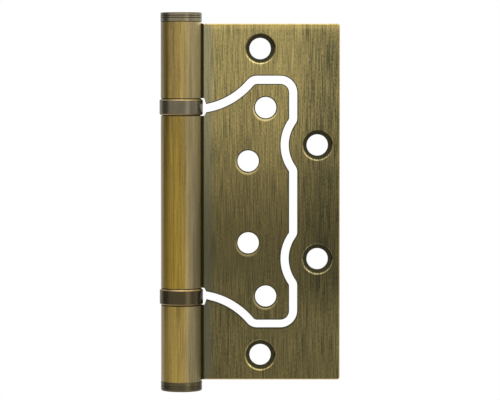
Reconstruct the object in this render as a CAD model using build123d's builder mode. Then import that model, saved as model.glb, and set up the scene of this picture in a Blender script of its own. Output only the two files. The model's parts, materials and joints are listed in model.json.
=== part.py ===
from build123d import *
import os
from math import acos, degrees, sqrt

# Non-mortise hinge: the inner leaf folds into the window of the outer leaf, so that both lie in
# one sheet thickness. Each leaf is one blank of sheet steel rolled round a common pin, and two
# ball bearings between the knuckles carry the door. Lengths are millimetres.

# Leaves, measured from the pin axis (x) and from mid-height (z)
leaf_height = 100.0
leaf_thickness = 2.5
outer_reach = 44.5
outer_corner_r = 0.6
edge_chamfer = 0.25

# Window in the outer leaf: the bands left round it, and the even gap to the inner leaf
end_band = 14.55
edge_band = 11.9
nest_gap = 2.3

# Outline of the inner leaf: hollows for the outer leaf's knuckle roots and edge screws
inner_corner_r = 2.5
lobe_width = 9.67
root_hollow_r = 21.8
root_hollow_rise = 13.55
shoulder_r = 1.4
scallop_r = 12.6
scallop_depth = 2.4
scallop_corner_r = 0.5

# Root of each leaf beside the barrel, where the blank steps from leaf to knuckle
root_margin = 1.25
end_margin = 0.15
root_step = 0.55

# Screw holes, countersunk on the side that faces away from the door or the frame
screw_hole_d = 6.0
countersink_d = 8.2
countersink_angle = 90.0
rim_chamfer = 0.3
end_hole_x = 22.15
end_hole_margin = 6.95
edge_hole_margin = 6.3
edge_hole_z = 16.0
far_hole_side_margin = 6.6
far_hole_end_margin = 6.65
near_hole_x = 18.8
near_hole_z = 11.5

# Barrel: each sheet is cranked back beside the barrel and rolled, with the seam at the front
pin_d = 6.4
pin_chamfer = 0.4
running_clearance = 0.05
crank_margin = 1.15
crank_front_r = 0.35
crank_back_r = 1.0
seam_gap = 0.35
knuckle_setback = 9.0
bearing_space = 5.0
knuckle_overhang = 0.5

# End caps pressed into the outer knuckles
cap_proud = 0.05
cap_height = 2.65
cap_rim_round = 0.45
cap_foot_chamfer = 0.2
cap_groove_count = 2
cap_groove_drop = 0.85
cap_groove_pitch = 0.6
cap_groove_width = 0.24
spigot_length = 5.0
press_clearance = 0.02
cap_pin_gap = 0.2

# Ball bearings: a shell round two grooved races, with the balls spaced by a cage
shell_proud = 0.35
shell_wall = 0.6
shell_chamfer = 0.4
shell_end_gap = 0.25
shell_clearance = 0.1
ball_d = 1.5
ball_count = 8
ball_clearance = 0.02
groove_depth = 0.2
groove_clearance = 0.05
cage_thickness = 0.7
cage_clearance = 0.12
pocket_clearance = 0.05

# Sizes that follow from the ones above
half_height = leaf_height / 2
half_sheet = leaf_thickness / 2
bore_r = pin_d / 2 + running_clearance
barrel_r = bore_r + leaf_thickness
roll_r = bore_r + half_sheet
beyond_barrel = 2 * barrel_r
root_x = barrel_r + root_margin
end_root_x = barrel_r + end_margin
inner_reach = outer_reach - edge_band - nest_gap
inner_half_height = half_height - end_band - nest_gap
root_hollow_z = inner_half_height + root_hollow_rise
root_hollow_x = inner_reach - lobe_width - sqrt(root_hollow_r**2 - root_hollow_rise**2)
scallop_x = inner_reach - scallop_depth + scallop_r
end_hole_z = half_height - end_hole_margin
edge_hole_x = outer_reach - edge_hole_margin
far_hole_x = inner_reach - far_hole_side_margin
far_hole_z = inner_half_height - far_hole_end_margin
inner_knuckle_half = inner_half_height - knuckle_setback
outer_knuckle_start = inner_knuckle_half + bearing_space
outer_knuckle_end = half_height + knuckle_overhang
cap_r = barrel_r + cap_proud
shell_r = barrel_r + shell_proud
shell_bore_r = shell_r - shell_wall
ball_level = inner_knuckle_half + bearing_space / 2
ball_circle_r = (bore_r + shell_bore_r) / 2
groove_r = ball_d / 2 + groove_clearance
groove_centre_rise = groove_clearance - ball_clearance
race_thickness = (bearing_space - ball_d) / 2 - ball_clearance + groove_depth

# Crank: the sheet leaves its own plane at crank_x and leans back until it meets the roll
crank_x = barrel_r + crank_margin
crank_angle = degrees(acos(roll_r / crank_x))
seam_angle = degrees(acos((bore_r - seam_gap) / barrel_r)) - crank_angle

# Frame: origin on the outer leaf's mounting face, midway between its two end screw holes,
# +X from the barrel to the leaves, +Y into the surface it is screwed to, +Z up the pin
pin_x = -end_hole_x
pin_y = -half_sheet
pin_axis = Axis((pin_x, pin_y, 0), (0, 0, 1))
level = Plane(origin=(pin_x, pin_y, 0))
front = Plane(origin=(pin_x, pin_y, 0), x_dir=(1, 0, 0), z_dir=(0, -1, 0))
back = Plane(origin=(pin_x, pin_y, 0), x_dir=(1, 0, 0), z_dir=(0, 1, 0))

os.makedirs("parts", exist_ok=True)


def rolled_section(reach):
    """Section of a leaf across the pin: the flat sheet, the crank and the roll."""
    with BuildSketch() as section:
        with BuildLine():
            roll = CenterArc((0, 0), roll_r, crank_angle, 360 - crank_angle - seam_angle)
            Polyline((reach, 0), (crank_x, 0), roll @ 0)
        trace(line_width=leaf_thickness)
    return section.sketch


def root_strip(foot_x, edge_half, tab_half):
    """Strip of a blank that crosses the barrel, from the leaf's edge to the knuckle's ends."""
    corners = [(-beyond_barrel, tab_half), (foot_x - root_step, tab_half), (foot_x, edge_half)]
    return corners + [(x, -z) for x, z in reversed(corners)]


def nest_outline(grow, knuckle_half):
    """Outline of the inner leaf grown by an even gap, with its strip across the barrel."""
    hollow_r = root_hollow_r - grow
    root_half = root_hollow_z - sqrt(hollow_r**2 - (root_x - root_hollow_x) ** 2)
    with BuildSketch() as outline:
        with Locations((root_x, 0)):
            width = inner_reach + grow - root_x
            height = 2 * (inner_half_height + grow)
            Rectangle(width, height, align=(Align.MIN, Align.CENTER))
        with Locations((root_hollow_x, root_hollow_z), (root_hollow_x, -root_hollow_z)):
            Circle(hollow_r, mode=Mode.SUBTRACT)
        with Locations((scallop_x, edge_hole_z), (scallop_x, -edge_hole_z)):
            Circle(scallop_r - grow, mode=Mode.SUBTRACT)
        for end in (0, -1):
            shoulder = outline.vertices().group_by(Axis.Y)[end].sort_by(Axis.X)[0]
            fillet(shoulder, radius=shoulder_r + grow)
            corner = outline.vertices().group_by(Axis.Y)[end].sort_by(Axis.X)[-1]
            fillet(corner, radius=inner_corner_r + grow)
        scallop_corners = outline.vertices().group_by(Axis.X)[-1].sort_by(Axis.Y)[1:-1]
        fillet(scallop_corners, radius=scallop_corner_r + grow)
        Polygon(root_strip(root_x, root_half, knuckle_half), align=None)
    return outline.sketch


def flat_edges(leaf):
    """Edges of a leaf's two flat faces that lie clear of the crank."""
    flats = leaf.faces().filter_by(Axis.Y).edges()
    return [e for e in flats if e.center().X > pin_x + crank_x + leaf_thickness]


def crank_edges(leaf, side):
    """Upright edges between a leaf's front (0) or back (-1) face and its crank."""
    upright = leaf.faces().filter_by(Axis.Y).group_by(Axis.Y)[side].edges().filter_by(Axis.Z)
    return [e for e in upright if e.center().X < pin_x + crank_x + leaf_thickness]


# Outer leaf: one blank with a window, two knuckles and four screw holes
outer_section = rolled_section(outer_reach)
window = nest_outline(nest_gap, outer_knuckle_start)
with BuildPart() as outer_leaf:
    with BuildSketch(level.offset(-outer_knuckle_end)):
        add(outer_section)
    extrude(amount=2 * outer_knuckle_end)
    with BuildSketch(front):
        with Locations((end_root_x, 0)):
            leaf_blank = Rectangle(outer_reach - end_root_x, leaf_height, align=(Align.MIN, Align.CENTER))
        fillet(leaf_blank.vertices().group_by(Axis.X)[-1], radius=outer_corner_r)
        Polygon(root_strip(end_root_x, half_height, outer_knuckle_end), align=None)
        add(window, mode=Mode.SUBTRACT)
    extrude(amount=beyond_barrel, both=True, mode=Mode.INTERSECT)
    with Locations(front.offset(half_sheet)):
        with Locations(
            (end_hole_x, end_hole_z),
            (end_hole_x, -end_hole_z),
            (edge_hole_x, edge_hole_z),
            (edge_hole_x, -edge_hole_z),
        ):
            CounterSinkHole(screw_hole_d / 2, countersink_d / 2, leaf_thickness, countersink_angle)
    chamfer([e for e in flat_edges(outer_leaf) if e.is_closed], length=rim_chamfer)
    chamfer([e for e in flat_edges(outer_leaf) if not e.is_closed], length=edge_chamfer)
    fillet(crank_edges(outer_leaf, 0), radius=crank_front_r)
    fillet(crank_edges(outer_leaf, -1), radius=crank_back_r)
outer_leaf.part.label = "outer_leaf"
export_step(outer_leaf.part, "parts/outer_leaf.step")

# Inner leaf: one blank with the long middle knuckle and four screw holes sunk from behind
inner_section = rolled_section(inner_reach)
inner_blank = nest_outline(0, inner_knuckle_half)
with BuildPart() as inner_leaf:
    with BuildSketch(level.offset(-inner_half_height)):
        add(inner_section)
    extrude(amount=2 * inner_half_height)
    with BuildSketch(front):
        add(inner_blank)
    extrude(amount=beyond_barrel, both=True, mode=Mode.INTERSECT)
    with Locations(back.offset(half_sheet)):
        with Locations(
            (far_hole_x, far_hole_z),
            (far_hole_x, -far_hole_z),
            (near_hole_x, near_hole_z),
            (near_hole_x, -near_hole_z),
        ):
            CounterSinkHole(screw_hole_d / 2, countersink_d / 2, leaf_thickness, countersink_angle)
    chamfer([e for e in flat_edges(inner_leaf) if e.is_closed], length=rim_chamfer)
    chamfer([e for e in flat_edges(inner_leaf) if not e.is_closed], length=edge_chamfer)
    fillet(crank_edges(inner_leaf, 0), radius=crank_front_r)
    fillet(crank_edges(inner_leaf, -1), radius=crank_back_r)
inner_leaf.part.label = "inner_leaf"
export_step(inner_leaf.part, "parts/inner_leaf.step")

# Pin: a plain ground rod that runs through all three knuckles and both bearings
pin_half = outer_knuckle_end - spigot_length - cap_pin_gap
with BuildPart() as hinge_pin:
    with BuildSketch(level.offset(-pin_half)):
        Circle(pin_d / 2)
    extrude(amount=2 * pin_half)
    chamfer(hinge_pin.edges().filter_by(GeomType.CIRCLE), length=pin_chamfer)
hinge_pin.part.label = "hinge_pin"
export_step(hinge_pin.part, "parts/hinge_pin.step")

# The lower end is the upper one turned over: the back plane's second axis points down the pin
for radial, cap_name, bearing in ((front, "top_cap", "upper_bearing"), (back, "bottom_cap", "lower_bearing")):
    # End cap: a turned button with two fine grooves and a spigot in the knuckle's bore
    with BuildPart() as cap:
        with BuildSketch(radial):
            with Locations((0, outer_knuckle_end)):
                head = Rectangle(cap_r, cap_height, align=Align.MIN)
            foot, rim = head.vertices().group_by(Axis.X)[-1].sort_by(Axis.Y)
            chamfer(foot, length=cap_foot_chamfer)
            fillet(rim, radius=cap_rim_round)
            for groove in range(cap_groove_count):
                drop = cap_groove_drop + groove * cap_groove_pitch
                with Locations((cap_r, outer_knuckle_end + cap_height - drop)):
                    RegularPolygon(cap_groove_width / 2, side_count=4, mode=Mode.SUBTRACT)
            with Locations((0, outer_knuckle_end - spigot_length)):
                Rectangle(bore_r - press_clearance, spigot_length, align=Align.MIN)
        revolve(axis=pin_axis)
    cap.part.label = cap_name
    export_step(cap.part, f"parts/{cap_name}.step")

    # Bearing shell: the ring that shows between the knuckles, bevelled at both ends
    with BuildPart() as shell:
        with BuildSketch(radial):
            with Locations((shell_bore_r, inner_knuckle_half + shell_end_gap)):
                wall = Rectangle(shell_wall, bearing_space - 2 * shell_end_gap, align=Align.MIN)
            chamfer(wall.vertices().group_by(Axis.X)[-1], length=shell_chamfer)
        revolve(axis=pin_axis)
    shell.part.label = f"{bearing}_shell"
    export_step(shell.part, f"parts/{bearing}_shell.step")

    # Races: hardened washers with a ball groove each. One is pressed into the shell and seats on
    # the outer knuckle, and the other turns with the inner knuckle.
    seats = (
        ("fixed_race", outer_knuckle_start - race_thickness, press_clearance, -1),
        ("turning_race", inner_knuckle_half, shell_clearance, 1),
    )
    for race_name, race_foot, race_clearance, towards_ball in seats:
        with BuildPart() as race:
            with BuildSketch(radial):
                with Locations((bore_r, race_foot)):
                    Rectangle(shell_bore_r - race_clearance - bore_r, race_thickness, align=Align.MIN)
                with Locations((ball_circle_r, ball_level + towards_ball * groove_centre_rise)):
                    Circle(groove_r, mode=Mode.SUBTRACT)
            revolve(axis=pin_axis)
        race.part.label = f"{bearing}_{race_name}"
        export_step(race.part, f"parts/{bearing}_{race_name}.step")

    # Cage: a flat ring with a pocket for each ball
    ball_plane = Plane(origin=radial.from_local_coords((0, ball_level, 0)))
    with BuildPart() as cage:
        with BuildSketch(ball_plane):
            Circle(shell_bore_r - cage_clearance)
            Circle(bore_r + cage_clearance, mode=Mode.SUBTRACT)
            with PolarLocations(ball_circle_r, ball_count):
                Circle(ball_d / 2 + pocket_clearance, mode=Mode.SUBTRACT)
        extrude(amount=cage_thickness / 2, both=True)
    cage.part.label = f"{bearing}_cage"
    export_step(cage.part, f"parts/{bearing}_cage.step")

    # Balls: one in each pocket, in the grooves of both races
    for number in range(1, ball_count + 1):
        with BuildPart(ball_plane) as ball:
            with PolarLocations(ball_circle_r, 1, start_angle=360 * (number - 1) / ball_count):
                Sphere(ball_d / 2)
        ball.part.label = f"{bearing}_ball_{number}"
        export_step(ball.part, f"parts/{bearing}_ball_{number}.step")
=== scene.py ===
import json
from math import radians

import bpy
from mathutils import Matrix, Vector


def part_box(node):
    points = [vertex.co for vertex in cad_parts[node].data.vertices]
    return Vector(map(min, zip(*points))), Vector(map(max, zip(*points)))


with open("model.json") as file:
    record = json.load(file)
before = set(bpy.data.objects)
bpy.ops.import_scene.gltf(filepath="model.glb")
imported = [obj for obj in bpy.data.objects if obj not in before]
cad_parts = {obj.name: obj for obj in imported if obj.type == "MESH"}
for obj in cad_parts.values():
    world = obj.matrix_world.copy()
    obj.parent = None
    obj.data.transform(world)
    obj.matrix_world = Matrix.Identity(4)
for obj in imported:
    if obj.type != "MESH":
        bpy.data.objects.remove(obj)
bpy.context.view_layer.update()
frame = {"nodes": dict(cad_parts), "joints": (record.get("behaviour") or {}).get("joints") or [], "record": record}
nodes = frame["nodes"]

# Leaves
# Two blanks of sheet steel, each rolled along one edge into knuckles for the pin. They are brass
# plated, blackened, brushed lengthways until the brass shows through, and lacquered.
MM = 0.001
pin_axis = Vector(frame["joints"][0]["pos_m"])
barrel_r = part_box("inner_leaf")[1].y - pin_axis.y
far_edge_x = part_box("outer_leaf")[1].x
knuckle_overhang = 0.5 * MM  # how far the knuckles reach past the ends of the sheet
leaf_end_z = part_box("outer_leaf")[1].z - knuckle_overhang
ring_start_z, ring_end_z = [corner.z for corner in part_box("upper_bearing_shell")]
screw_axes = {"frame": [], "door": []}
for mount in frame["record"]["mounts"]:
    if mount["kind"] == "bolt_pattern":
        side = mount["name"].split("_")[0]
        half_spacing = mount["dims"]["spacing_y_mm"] * MM / 2
        for screw_z in (-half_spacing, half_spacing):
            screw_axes[side].append(Vector((mount["pos_m"][0], 0, screw_z)))


def srgb(code):
    """Linear colour of an sRGB hex value."""
    parts = [int(code[i : i + 2], 16) / 255 for i in (1, 3, 5)]
    return [c / 12.92 if c <= 0.04045 else ((c + 0.055) / 1.055) ** 2.4 for c in parts] + [1.0]


def add_node(tree, kind, inputs=None, **settings):
    """Adds a node with its settings, and fills its inputs with values or with other nodes' outputs."""
    added = tree.nodes.new(kind)
    for name, value in settings.items():
        setattr(added, name, value)
    for key, value in (inputs or {}).items():
        if isinstance(value, bpy.types.NodeSocket):
            tree.links.new(value, added.inputs[key])
        else:
            added.inputs[key].default_value = value
    return added


def new_material(name, **constants):
    """Starts a material, and returns it with its tree, its shader and the place of a surface point."""
    material = bpy.data.materials.new(name)
    material.use_nodes = True
    tree = material.node_tree
    shader = tree.nodes["Principled BSDF"]
    for socket, value in constants.items():
        shader.inputs[socket.replace("_", " ")].default_value = value
    place = add_node(tree, "ShaderNodeTexCoord").outputs["Object"]
    return material, tree, shader, place


def grain(tree, place, layers):
    """Adds up noises, each with a cell (x, y, z) in millimetres and a share of the whole."""
    total = 0.0
    for cell_mm, share in layers:
        scale = [1 / (side * MM) for side in cell_mm]
        cells = add_node(tree, "ShaderNodeMapping", {"Vector": place, "Scale": scale}).outputs[0]
        noise = add_node(tree, "ShaderNodeTexNoise", {"Vector": cells, "Scale": 1.0, "Detail": 1.0})
        settings = {0: noise.outputs["Fac"], 1: share, 2: total}
        total = add_node(tree, "ShaderNodeMath", settings, operation="MULTIPLY_ADD").outputs[0]
    return total


grain_low, grain_high = 0.34, 0.66  # a grain keeps between these over most of a surface


def roughen(tree, shader, pattern, relief, rough, smooth):
    """Lets a grain raise a surface, and leaves its low places rough and its high ones smooth."""
    raised = add_node(tree, "ShaderNodeBump", {"Height": pattern, "Distance": relief}).outputs[0]
    tree.links.new(raised, shader.inputs["Normal"])
    gloss = {"Value": pattern, "From Min": grain_low, "From Max": grain_high}
    gloss.update({"To Min": rough, "To Max": smooth})
    gloss = add_node(tree, "ShaderNodeMapRange", gloss).outputs[0]
    tree.links.new(gloss, shader.inputs["Roughness"])


SHARE, FROM, TO, MIXED = 0, 6, 7, 2  # sockets of a Mix node of colours

# Brushed antique bronze: the brush leaves the dark patina in fine upright lines and bares the brass
# between them. The eye sees olive brown with golden lines, and a gloss smeared across the brushing.
# The slender band past the window and the rims of the outer leaf's holes are painted darker, painted
# shade. The patina is rubbed thin along the upper edge, below the inner leaf's holes is a painted
# highlight, and the corner beside the knuckles holds a painted grey reflection and shade of the barrel. The real
# lines are about 0.1 mm wide, and drawn at 0.25 mm to show.
face_bronze, tree, shader, place = new_material(
    "brushed_antique_bronze", Metallic=1.0, Anisotropic=1.0, Coat_Weight=0.2, Coat_Roughness=0.2
)
brush_lines = (
    ((0.25, 0.25, 9), 0.52),  # long lines
    ((0.25, 0.25, 0.9), 0.28),  # breaks in them
    ((0.9, 0.9, 24), 0.1),  # strands of several lines
    ((3.5, 3.5, 60), 0.1),  # passes of the brush
)
lines = grain(tree, place, brush_lines)
roughen(tree, shader, lines, relief=0.006 * MM, rough=0.23, smooth=0.17)
axes = add_node(tree, "ShaderNodeSeparateXYZ", {0: place})
bared = {"Value": lines, "From Min": grain_low, "From Max": grain_high}
bared = add_node(tree, "ShaderNodeMapRange", bared).outputs[0]

# Painted shade: the slender band past the window is painted darker, fading out towards the leaf's ends.
band_start_x, band_full_x = far_edge_x - 15 * MM, far_edge_x - 4 * MM
band_ends_z = ((-36 * MM, -20 * MM), (52 * MM, 44 * MM))
band_painted_shade = 0.26
band = {"Value": axes.outputs["X"], "From Min": band_start_x, "From Max": band_full_x}
band = add_node(tree, "ShaderNodeMapRange", band, interpolation_type="SMOOTHSTEP").outputs[0]
for start_z, full_z in band_ends_z:
    reach = {"Value": axes.outputs["Z"], "From Min": start_z, "From Max": full_z}
    reach = add_node(tree, "ShaderNodeMapRange", reach, interpolation_type="SMOOTHSTEP").outputs[0]
    band = add_node(tree, "ShaderNodeMath", {0: band, 1: reach}, operation="MULTIPLY").outputs[0]
bared = {0: band, 1: -band_painted_shade, 2: bared}
bared = add_node(tree, "ShaderNodeMath", bared, operation="MULTIPLY_ADD").outputs[0]

# The upper edge is rubbed.
edge_start_z, edge_full_z = leaf_end_z - 1.8 * MM, leaf_end_z - 1.1 * MM
edge_wear = 0.24
rubbed = {"Value": axes.outputs["Z"], "From Min": edge_start_z, "From Max": edge_full_z}
rubbed = add_node(tree, "ShaderNodeMapRange", rubbed).outputs[0]
bared = {0: rubbed, 1: edge_wear, 2: bared}
bared = add_node(tree, "ShaderNodeMath", bared, operation="MULTIPLY_ADD").outputs[0]
tone = {SHARE: bared, FROM: srgb("#57553d"), TO: srgb("#c6b575")}
tone = add_node(tree, "ShaderNodeMix", tone, data_type="RGBA").outputs[MIXED]

# Painted reflection and shade of the barrel: the corner beside the knuckles is painted grey green.
corner_start_x, corner_full_x = pin_axis.x + 10 * MM, pin_axis.x + 6.8 * MM
corner_painted_reflection = 0.7
corner = {"Value": axes.outputs["X"], "From Min": corner_start_x, "From Max": corner_full_x}
corner["To Max"] = corner_painted_reflection
corner = add_node(tree, "ShaderNodeMapRange", corner, interpolation_type="SMOOTHSTEP").outputs[0]
tone = {SHARE: corner, FROM: tone, TO: srgb("#8d8f7a")}
tone = add_node(tree, "ShaderNodeMix", tone, data_type="RGBA").outputs[MIXED]

# Marks round the holes: a painted highlight below those of the inner leaf, painted shade round those of the outer.
front_depth = 0.5 * MM  # the marks start at the middle of the sheet and are full this far forward
front = {"Value": axes.outputs["Y"], "From Min": pin_axis.y, "From Max": pin_axis.y - front_depth}
front = add_node(tree, "ShaderNodeMapRange", front).outputs[0]
flat = {"X": axes.outputs["X"], "Z": axes.outputs["Z"]}
flat = add_node(tree, "ShaderNodeCombineXYZ", flat).outputs[0]
highlight_shift = Vector((-0.15 * MM, 0, -0.5 * MM))
shade_shift = Vector((0.12 * MM, 0, 0.06 * MM))
hole_highlights_and_shades = (
    ("door", highlight_shift, 3.55 * MM, 3.1 * MM, "#ffeaa6"),
    ("frame", shade_shift, 4.3 * MM, 4.0 * MM, "#2e2b1d"),
)
for side, shift, outside_r, inside_r, colour in hole_highlights_and_shades:
    marked = 0.0
    for axis in screw_axes[side]:
        away = {0: flat, 1: axis + shift}
        away = add_node(tree, "ShaderNodeVectorMath", away, operation="DISTANCE").outputs["Value"]
        mark = {"Value": away, "From Min": outside_r, "From Max": inside_r}
        mark = add_node(tree, "ShaderNodeMapRange", mark).outputs[0]
        marked = add_node(tree, "ShaderNodeMath", {0: marked, 1: mark}, operation="MAXIMUM").outputs[0]
    marked = add_node(tree, "ShaderNodeMath", {0: marked, 1: front}, operation="MULTIPLY").outputs[0]
    tone = {SHARE: marked, FROM: tone, TO: srgb(colour)}
    tone = add_node(tree, "ShaderNodeMix", tone, data_type="RGBA").outputs[MIXED]
tree.links.new(tone, shader.inputs["Base Color"])

# Rubbed bronze: the knuckles are buffed round the outside, so their gold shows more than on the
# leaves, and turns to olive towards the leaf. The eye sees soft upright bands under a full coat of
# lacquer. Painted light: the gold is painted lighter towards the foot of the barrel, the olive paler high
# up and on the lower knuckle, and the flank beside the leaf pale. Here too the finest lines are drawn coarse, at
# 0.3 mm, to show.
knuckle_bronze, tree, shader, place = new_material(
    "rubbed_bronze_knuckle", Metallic=1.0, Coat_Weight=1.0, Coat_Roughness=0.16
)
buff_lines = (
    ((0.3, 0.3, 11), 0.4),  # long lines
    ((0.3, 0.3, 1), 0.15),  # breaks in them
    ((1.3, 1.3, 40), 0.45),  # bands
)
bands = grain(tree, place, buff_lines)
roughen(tree, shader, bands, relief=0.006 * MM, rough=0.5, smooth=0.42)
axes = add_node(tree, "ShaderNodeSeparateXYZ", {0: place})
bared = {"Value": bands, "From Min": grain_low, "From Max": grain_high}
bared = add_node(tree, "ShaderNodeMapRange", bared).outputs[0]

# Gold, darkest at the top of the middle knuckle and painted lighter towards each foot, painted light standing
# for the highlight low on the barrel. Each row has a top and a foot, the lift at both, and the tones of patina and
# brass.
middle_gold = (22 * MM, -14 * MM, -0.34, 0.2, "#7b651a", "#b99b3c")
outer_gold = (40 * MM, -40 * MM, -0.2, 0.25, "#6e5a24", "#bba153")
golds = []
for top_z, foot_z, top_lift, foot_lift, dark, light in (middle_gold, outer_gold):
    painted_height_light = {"Value": axes.outputs["Z"], "From Min": top_z, "From Max": foot_z}
    painted_height_light.update({"To Min": top_lift, "To Max": foot_lift})
    painted_height_light = add_node(tree, "ShaderNodeMapRange", painted_height_light).outputs[0]
    gilt = add_node(tree, "ShaderNodeMath", {0: bared, 1: painted_height_light}, operation="ADD").outputs[0]
    gold = {SHARE: gilt, FROM: srgb(dark), TO: srgb(light)}
    golds.append(add_node(tree, "ShaderNodeMix", gold, data_type="RGBA").outputs[MIXED])
up_or_down = add_node(tree, "ShaderNodeMath", {0: axes.outputs["Z"]}, operation="ABSOLUTE").outputs[0]
outer = {"Value": up_or_down, "From Min": ring_start_z, "From Max": ring_end_z}
outer = add_node(tree, "ShaderNodeMapRange", outer).outputs[0]
gold = {SHARE: outer, FROM: golds[0], TO: golds[1]}
gold = add_node(tree, "ShaderNodeMix", gold, data_type="RGBA").outputs[MIXED]

# Olive towards the leaf, painted paler high up, where the upper knuckle is lit from the right, and on the lower
# knuckle as a painted highlight.
olives = []
for dark, light in (("#6d6549", "#988d68"), ("#7c6f48", "#ad9a64")):
    olive = {SHARE: bared, FROM: srgb(dark), TO: srgb(light)}
    olives.append(add_node(tree, "ShaderNodeMix", olive, data_type="RGBA").outputs[MIXED])
upper_painted_light = (-5 * MM, 32 * MM, 0.8)
lower_painted_highlight = (-ring_start_z, -ring_end_z, 0.2)
paled = 0.0
for start_z, full_z, share in (upper_painted_light, lower_painted_highlight):
    paling = {"Value": axes.outputs["Z"], "From Min": start_z, "From Max": full_z, "To Max": share}
    paling = add_node(tree, "ShaderNodeMapRange", paling).outputs[0]
    paled = add_node(tree, "ShaderNodeMath", {0: paled, 1: paling}, operation="MAXIMUM").outputs[0]
olive = {SHARE: paled, FROM: olives[0], TO: olives[1]}
olive = add_node(tree, "ShaderNodeMix", olive, data_type="RGBA").outputs[MIXED]
olive_start_x, olive_full_x = pin_axis.x - 0.1 * barrel_r, pin_axis.x + 0.6 * barrel_r
toward_leaf = {"Value": axes.outputs["X"], "From Min": olive_start_x, "From Max": olive_full_x}
toward_leaf = add_node(tree, "ShaderNodeMapRange", toward_leaf, interpolation_type="SMOOTHSTEP").outputs[0]
tone = {SHARE: toward_leaf, FROM: gold, TO: olive}
tone = add_node(tree, "ShaderNodeMix", tone, data_type="RGBA").outputs[MIXED]

# Painted highlight: the flank beside the leaf is painted pale, more strongly high up.
sheen_start_x, sheen_full_x = pin_axis.x + 0.68 * barrel_r, pin_axis.x + 0.92 * barrel_r
sheen_low_z, sheen_high_z = -5 * MM, 40 * MM
least_sheen = 0.12
polish_haze_and_painted_sheen = {"Value": axes.outputs["X"], "From Min": sheen_start_x, "From Max": sheen_full_x}
polish_haze_and_painted_sheen = add_node(tree, "ShaderNodeMapRange", polish_haze_and_painted_sheen).outputs[0]
sheen_by_height = {"Value": axes.outputs["Z"], "From Min": sheen_low_z, "From Max": sheen_high_z, "To Min": least_sheen}
sheen_by_height = add_node(tree, "ShaderNodeMapRange", sheen_by_height).outputs[0]
polish_haze_and_painted_sheen = add_node(tree, "ShaderNodeMath", {0: polish_haze_and_painted_sheen, 1: sheen_by_height}, operation="MULTIPLY").outputs[0]
tone = {SHARE: polish_haze_and_painted_sheen, FROM: tone, TO: srgb("#d6c696")}
tone = add_node(tree, "ShaderNodeMix", tone, data_type="RGBA").outputs[MIXED]
tree.links.new(tone, shader.inputs["Base Color"])


def two_tone(name, cell_mm, dark, light, relief, rough, smooth, **constants):
    """Makes a material whose tone, relief and gloss follow one grain, with a cell in millimetres."""
    material, tree, shader, place = new_material(name, **constants)
    pattern = grain(tree, place, ((cell_mm, 1.0),))
    roughen(tree, shader, pattern, relief, rough, smooth)
    tone = {SHARE: pattern, FROM: srgb(dark), TO: srgb(light)}
    tone = add_node(tree, "ShaderNodeMix", tone, data_type="RGBA").outputs[MIXED]
    tree.links.new(tone, shader.inputs["Base Color"])
    return material


# Blackened brass: the patina is whole where no brush reaches, on the cut sides of the sheet, in the
# countersinks and in the bores. The eye sees a dull brown black.
black_brass = two_tone(
    "blackened_brass", cell_mm=(0.6, 0.6, 0.6), dark="#26230f", light="#3f3c1c",
    relief=0.008 * MM, rough=0.75, smooth=0.65, Specular_IOR_Level=0.2,
)

# Bared brass: the brush takes the patina right off the corners round the outside of the hinge. The
# eye sees a thin golden line there.
bared_brass = two_tone(
    "bared_brass_edge", cell_mm=(1.2, 1.2, 1.2), dark="#a58d4c", light="#dcc684",
    relief=0.004 * MM, rough=0.34, smooth=0.26, Metallic=1.0,
)

leaf_finishes = (face_bronze, knuckle_bronze, black_brass, bared_brass)
FACE, KNUCKLE, BLACK, BARED = range(len(leaf_finishes))
facet_slack = 0.02 * MM  # the facets of a knuckle stray from its radius by less than this
root_r = barrel_r + 2.2 * MM  # the cranked root of the leaf ends within this
rim_r = 4.5 * MM  # a screw hole with its rim lies within this
edge_zone = 0.5 * MM  # the broken corners round the outside lie within this
outward_share = 0.9  # how squarely the outside of a knuckle looks away from the pin
flat_share, shallow_share, steep_share = 0.98, 0.85, 0.3  # how squarely facets look along an axis


def leaf_finish(face):
    """Which finish a facet of a leaf has, from its place and the way it looks."""
    outward = face.center - pin_axis
    outward.z = 0
    away = outward.length
    if away < barrel_r + facet_slack:
        return KNUCKLE if face.normal.dot(outward / away) > outward_share else BLACK
    if abs(face.normal.y) > flat_share or (away < root_r and abs(face.normal.z) < steep_share):
        return FACE
    if abs(face.normal.y) < steep_share:
        return BLACK
    for axis in screw_axes["frame"] + screw_axes["door"]:
        if (Vector((face.center.x, 0, face.center.z)) - axis).length < rim_r:
            return FACE if abs(face.normal.y) > shallow_share else BLACK
    at_side = face.center.x > far_edge_x - edge_zone
    at_end = abs(face.center.z) > leaf_end_z - edge_zone
    return BARED if at_side or at_end else BLACK


def set_finishes(name, *finishes):
    """Gives a piece its finishes, and returns its mesh."""
    mesh = nodes[name].data
    mesh.materials.clear()
    for finish in finishes:
        mesh.materials.append(finish)
    return mesh


for name in ("outer_leaf", "inner_leaf"):
    for face in set_finishes(name, *leaf_finishes).polygons:
        face.material_index = leaf_finish(face)

# End caps
# Turned steel buttons with two fine grooves, pressed into the knuckles over the ends of the pin and
# plated like the leaves. They are blackened but hardly brushed, so they stay greyer.
upper_z = 20 * MM  # the upper cap and ring lie above this, and the lower ones below its negative


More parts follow.
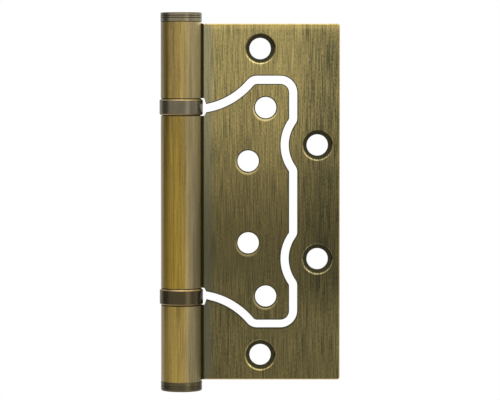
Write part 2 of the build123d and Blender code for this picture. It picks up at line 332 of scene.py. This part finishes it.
def grey_bronze(name, layers, lower_tones, upper_tones):
    """Makes bronze under a grey patina, with tones for the lower pieces and for the upper ones; the darker lower
    tones are painted shade.
    """
    bronze, tree, shader, place = new_material(name, Metallic=1.0, Coat_Weight=0.2, Coat_Roughness=0.2)
    pattern = grain(tree, place, layers)
    roughen(tree, shader, pattern, relief=0.003 * MM, rough=0.27, smooth=0.21)
    tones = []
    for dark, light in (lower_tones, upper_tones):
        tone = {SHARE: pattern, FROM: srgb(dark), TO: srgb(light)}
        tones.append(add_node(tree, "ShaderNodeMix", tone, data_type="RGBA").outputs[MIXED])
    height = add_node(tree, "ShaderNodeSeparateXYZ", {0: place}).outputs["Z"]
    upper = {"Value": height, "From Min": -upper_z, "From Max": upper_z}
    upper = add_node(tree, "ShaderNodeMapRange", upper).outputs[0]
    tone = {SHARE: upper, FROM: tones[0], TO: tones[1]}
    tone = add_node(tree, "ShaderNodeMix", tone, data_type="RGBA").outputs[MIXED]
    tree.links.new(tone, shader.inputs["Base Color"])
    return bronze


# Turned bronze: fine lines round the axis and a grey patina. The eye sees soft grey brown with a
# highlight down the middle. The lower cap is painted darker, painted shade. The lines are drawn coarse, at 0.15
# mm, to show.
turned_lines = (
    ((6, 6, 0.15), 0.6),  # lines of the turning tool
    ((1.5, 1.5, 3), 0.4),  # cloudy patina
)
lower_tones, upper_tones = ("#5f573c", "#827859"), ("#767059", "#9b947e")
cap_bronze = grey_bronze("turned_bronze_cap", turned_lines, lower_tones, upper_tones)

# Darkened edge: the rounded edge is given darker tones than the side, so the eye sees it no lighter than the side.
dark_cap_edge = two_tone(
    "darkened_bronze_edge", cell_mm=(1.2, 1.2, 1.2), dark="#51493c", light="#695f50",
    relief=0.004 * MM, rough=0.39, smooth=0.31, Metallic=1.0,
)
CAP, CAP_EDGE = range(2)
side_tilt, end_tilt = 0.1, 0.95  # a side looks up or down less than this, and an end more than that
for name in ("top_cap", "bottom_cap"):
    for face in set_finishes(name, cap_bronze, dark_cap_edge).polygons:
        face.material_index = CAP_EDGE if side_tilt < abs(face.normal.z) < end_tilt else CAP

# Bearing shells
# Thin drawn rings round the two ball bearings between the knuckles, a little prouder than the barrel,
# with bevelled ends. They are plated and blackened like the caps.
# Drawn bronze: short upright marks under a grey patina, which the eye sees as a faint streaking.
drawing_marks = (
    ((0.35, 0.35, 2.5), 0.6),  # marks of the die
    ((1.8, 1.8, 6), 0.4),  # cloudy patina
)
# The lower ring's tones are darker than the upper one's: painted shade.
lower_tones, upper_tones = ("#504832", "#70664b"), ("#67604f", "#8b8471")
ring_bronze = grey_bronze("drawn_bronze_ring", drawing_marks, lower_tones, upper_tones)

# Rubbed bevel: some of the patina is rubbed off the bevels, which the eye sees as a dull golden line.
bevel_bronze = two_tone(
    "rubbed_bronze_bevel", cell_mm=(1.2, 1.2, 1.2), dark="#8e7b54", light="#ac9568",
    relief=0.004 * MM, rough=0.39, smooth=0.31, Metallic=1.0,
)
RING, BEVEL, RING_END = range(3)
for name in ("upper_bearing_shell", "lower_bearing_shell"):
    for face in set_finishes(name, ring_bronze, bevel_bronze, black_brass).polygons:
        tilt = abs(face.normal.z)
        face.material_index = RING if tilt < side_tilt else BEVEL if tilt < end_tilt else RING_END

# Hinge pin
# A plain rod, cut from ground steel bar and put through all three knuckles. The caps over its ends
# keep it in.
# Ground steel: the wheel leaves fine rings round the rod, which the eye sees as a grey satin.
pin_steel = two_tone(
    "ground_steel_pin", cell_mm=(4, 4, 0.2), dark="#b4b3ae", light="#d2d1cc",
    relief=0.002 * MM, rough=0.34, smooth=0.26, Metallic=1.0,
)
set_finishes("hinge_pin", pin_steel)

# Races and balls
# In each bearing two grooved washers and eight balls between them, all of hardened steel. The races
# are blackened all over and then polished in the groove.
# Polished bearing steel: close to a mirror, which the eye sees with a faint haze of polishing.
bearing_steel, tree, shader, place = new_material("polished_bearing_steel", Metallic=1.0)
shader.inputs["Base Color"].default_value = srgb("#dadbde")
haze_cell_mm = (0.8, 0.8, 0.8)
clear, hazy = 0.08, 0.2
polish_haze_and_painted_sheen = {"Value": grain(tree, place, ((haze_cell_mm, 1.0),)), "To Min": clear, "To Max": hazy}
polish_haze_and_painted_sheen = add_node(tree, "ShaderNodeMapRange", polish_haze_and_painted_sheen).outputs[0]
tree.links.new(polish_haze_and_painted_sheen, shader.inputs["Roughness"])

# Black oxide: a dull skin on the steel, which the eye sees as the black line at each end of a ring; that line is
# partly painted shade of the narrow gap there.
black_oxide = two_tone(
    "black_oxide_steel", cell_mm=(0.5, 0.5, 0.5), dark="#151513", light="#272622",
    relief=0.004 * MM, rough=0.65, smooth=0.55, Specular_IOR_Level=0.2,
)
RACE, GROOVE = range(2)
ball_count = 8
groove_clearance = 0.06 * MM  # the groove is wider than a ball by this, with room for its facets
for bearing in ("upper_bearing", "lower_bearing"):
    for number in range(1, ball_count + 1):
        set_finishes(f"{bearing}_ball_{number}", bearing_steel)
    ball_low, ball_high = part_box(f"{bearing}_ball_1")
    ball_centre = (ball_low + ball_high) / 2
    circle_r = (ball_centre - pin_axis).xy.length
    groove_r = (ball_high.z - ball_low.z) / 2 + groove_clearance
    for name in (f"{bearing}_fixed_race", f"{bearing}_turning_race"):
        for face in set_finishes(name, black_oxide, bearing_steel).polygons:
            across = (face.center - pin_axis).xy.length - circle_r
            from_balls = Vector((across, face.center.z - ball_centre.z)).length
            face.material_index = GROOVE if from_balls < groove_r else RACE

# Cages
# Flat rings of moulded nylon with a pocket for each ball, one in each bearing. They keep the balls
# apart and turn with them.
# Natural nylon: undyed, which the eye sees as cream white and a little cloudy.
nylon = two_tone(
    "natural_nylon", cell_mm=(1.5, 1.5, 1.5), dark="#e6e0d0", light="#f2eee2",
    relief=0.01 * MM, rough=0.5, smooth=0.4, IOR=1.53,
)
for name in ("upper_bearing_cage", "lower_bearing_cage"):
    set_finishes(name, nylon)

# Floor
# A round sheet of pale paper, laid so far below the part that the main view doesn't show it. Its rim
# fades into the white of the backdrop.
floor_r = 320 * MM
floor_z = -120 * MM
bpy.ops.mesh.primitive_circle_add(radius=floor_r, vertices=96, fill_type="NGON", location=(0, 0, floor_z))
floor = bpy.context.object
floor.name = "floor"
# Matt paper: its fibres give the eye a barely uneven off-white.
paper, tree, shader, place = new_material("floor_paper", Roughness=0.9)
fibre_cell_mm = (3, 3, 3)
tone = {SHARE: grain(tree, place, ((fibre_cell_mm, 1.0),)), FROM: srgb("#e4e2de"), TO: srgb("#e9e7e3")}
tone = add_node(tree, "ShaderNodeMix", tone, data_type="RGBA").outputs[MIXED]
tree.links.new(tone, shader.inputs["Base Color"])
fade_start_r, fade_end_r = 0.4 * floor_r, 0.98 * floor_r
from_middle = add_node(tree, "ShaderNodeVectorMath", {0: place}, operation="LENGTH").outputs["Value"]
rim = {"Value": from_middle, "From Min": fade_start_r, "From Max": fade_end_r}
rim = add_node(tree, "ShaderNodeMapRange", rim, interpolation_type="SMOOTHSTEP").outputs[0]
seen = add_node(tree, "ShaderNodeLightPath").outputs["Is Camera Ray"]
fade = add_node(tree, "ShaderNodeMath", {0: rim, 1: seen}, operation="MULTIPLY").outputs[0]
white = add_node(tree, "ShaderNodeEmission", {"Color": (1, 1, 1, 1), "Strength": 1.0}).outputs[0]
surface = add_node(tree, "ShaderNodeMixShader", {0: fade, 1: shader.outputs[0], 2: white}).outputs[0]
tree.links.new(surface, tree.nodes["Material Output"].inputs["Surface"])
floor.data.materials.append(paper)

# Studio
# White all round to the camera. The metal sees soft lights in front, above and on the right, a dark
# flag on the left and the backdrop behind, and a lamp overhead throws the shadow on the floor.
scene = bpy.context.scene
scene.world = bpy.data.worlds.new("studio")
scene.world.use_nodes = True
tree = scene.world.node_tree
tree.nodes.clear()
toward = add_node(tree, "ShaderNodeTexCoord").outputs["Generated"]
axes = add_node(tree, "ShaderNodeSeparateXYZ", {0: toward})
ahead = add_node(tree, "ShaderNodeMath", {0: axes.outputs["Y"], 1: -1.0}, operation="MULTIPLY").outputs[0]
azimuth = add_node(tree, "ShaderNodeMath", {0: axes.outputs["X"], 1: ahead}, operation="ARCTAN2").outputs[0]
elevation = add_node(tree, "ShaderNodeMath", {0: axes.outputs["Z"]}, operation="ARCSINE").outputs[0]
top_softness = 3  # the top of a light fades this many times as softly as its bottom


def panel(sides, soft_sides, ends, soft_ends, colour, level):
    """Light between two azimuths and two elevations, in degrees from the front, with soft edges."""
    soft_top = top_softness * soft_ends
    edges = (
        (azimuth, sides[0] - soft_sides, sides[0] + soft_sides),
        (azimuth, sides[1] + soft_sides, sides[1] - soft_sides),
        (elevation, ends[0] - soft_ends, ends[0] + soft_ends),
        (elevation, ends[1] + soft_top, ends[1] - soft_top),
    )
    lit = level
    for angle, dark, bright in edges:
        edge = {"Value": angle, "From Min": radians(dark), "From Max": radians(bright)}
        edge = add_node(tree, "ShaderNodeMapRange", edge, interpolation_type="SMOOTHSTEP").outputs[0]
        lit = add_node(tree, "ShaderNodeMath", {0: edge, 1: lit}, operation="MULTIPLY").outputs[0]
    light = {0: srgb(colour)[:3], "Scale": lit}
    return add_node(tree, "ShaderNodeVectorMath", light, operation="SCALE").outputs[0]


panels = (
    panel((-72, 42), 8, (-1.85, 100), 2.1, "#fffaf0", 1.0),  # softbox in front, from eye level up
    panel((-72, 42), 8, (-70, -4.7), 0.3, "#fffaf0", 0.27),  # dim table below it
    panel((-72, 42), 8, (-5.5, -4.4), 0.3, "#f6f8ff", 0.36),  # lit edge of the table
    panel((-90, 90), 10, (18, 75), 4, "#ffffff", 1.0),  # ceiling
    panel((27, 50), 7, (-40, 100), 4, "#fffaf0", 0.75),  # strip light in front on the right
    panel((46, 150), 10, (-40, 100), 4, "#fbfbff", 0.25),  # wall on the right
    panel((87, 96), 4, (-40, 100), 4, "#fffaf0", 0.45),  # narrow strip light on that wall
    panel((56, 150), 10, (-0.6, 100), 1.4, "#fffaf0", 0.85),  # softbox on the right, from eye level up
    panel((-110, -72), 8, (-40, 100), 4, "#ffffff", 0.15),  # dark flag on the left
    panel((148, 200), 8, (-90, 100), 4, "#ffffff", 0.6),  # backdrop, right half
    panel((-200, -115), 8, (-90, 100), 4, "#ffffff", 0.6),  # backdrop, left half
)
light = panels[0]
for more in panels[1:]:
    light = add_node(tree, "ShaderNodeVectorMath", {0: light, 1: more}, operation="ADD").outputs[0]
path = add_node(tree, "ShaderNodeLightPath")
mirrored = {0: path.outputs["Is Glossy Ray"], 1: path.outputs["Is Transmission Ray"]}
mirrored = add_node(tree, "ShaderNodeMath", mirrored, operation="MAXIMUM").outputs[0]
softboxes = add_node(tree, "ShaderNodeBackground", {"Color": light, "Strength": 1.0}).outputs[0]
ambient = add_node(tree, "ShaderNodeBackground", {"Color": (1, 1, 1, 1), "Strength": 0.7}).outputs[0]
backdrop = add_node(tree, "ShaderNodeBackground", {"Color": (1, 1, 1, 1), "Strength": 1.0}).outputs[0]
unseen = add_node(tree, "ShaderNodeMixShader", {0: mirrored, 1: ambient, 2: softboxes}).outputs[0]
shown = {0: path.outputs["Is Camera Ray"], 1: unseen, 2: backdrop}
shown = add_node(tree, "ShaderNodeMixShader", shown).outputs[0]
add_node(tree, "ShaderNodeOutputWorld", {"Surface": shown})

overhead = bpy.data.lights.new("overhead_softbox", "AREA")
overhead.shape = "RECTANGLE"
overhead.size, overhead.size_y = 900 * MM, 700 * MM
overhead.energy = 2.0
lamp = bpy.data.objects.new("overhead_softbox", overhead)
lamp.location = (-50 * MM, -250 * MM, 600 * MM)
part_middle = Vector((0, 0, 0))
lamp.rotation_euler = (part_middle - lamp.location).to_track_quat("-Z", "Y").to_euler()
scene.collection.objects.link(lamp)

# Camera
# A long lens, square to the leaves and a little above the middle of the hinge, as in the photograph.
# The object fills the frame at the photograph's own scale.
image_width = 500
pixels_per_mm = 3.5655  # the photograph's scale at the front of the leaves
distance = 800 * MM
rise = 36 * MM
lens = bpy.data.cameras.new("camera")
lens.sensor_width = 36
lens.lens = pixels_per_mm / MM * distance * lens.sensor_width / image_width
camera = bpy.data.objects.new("camera", lens)
aim = Vector((-2.84 * MM, -2.5 * MM, 0.58 * MM))  # on the front of the leaves
camera.location = aim + Vector((0, -distance, rise))
camera.rotation_euler = (aim - camera.location).to_track_quat("-Z", "Y").to_euler()
scene.collection.objects.link(camera)
scene.camera = camera
scene.view_settings.view_transform = "Standard"
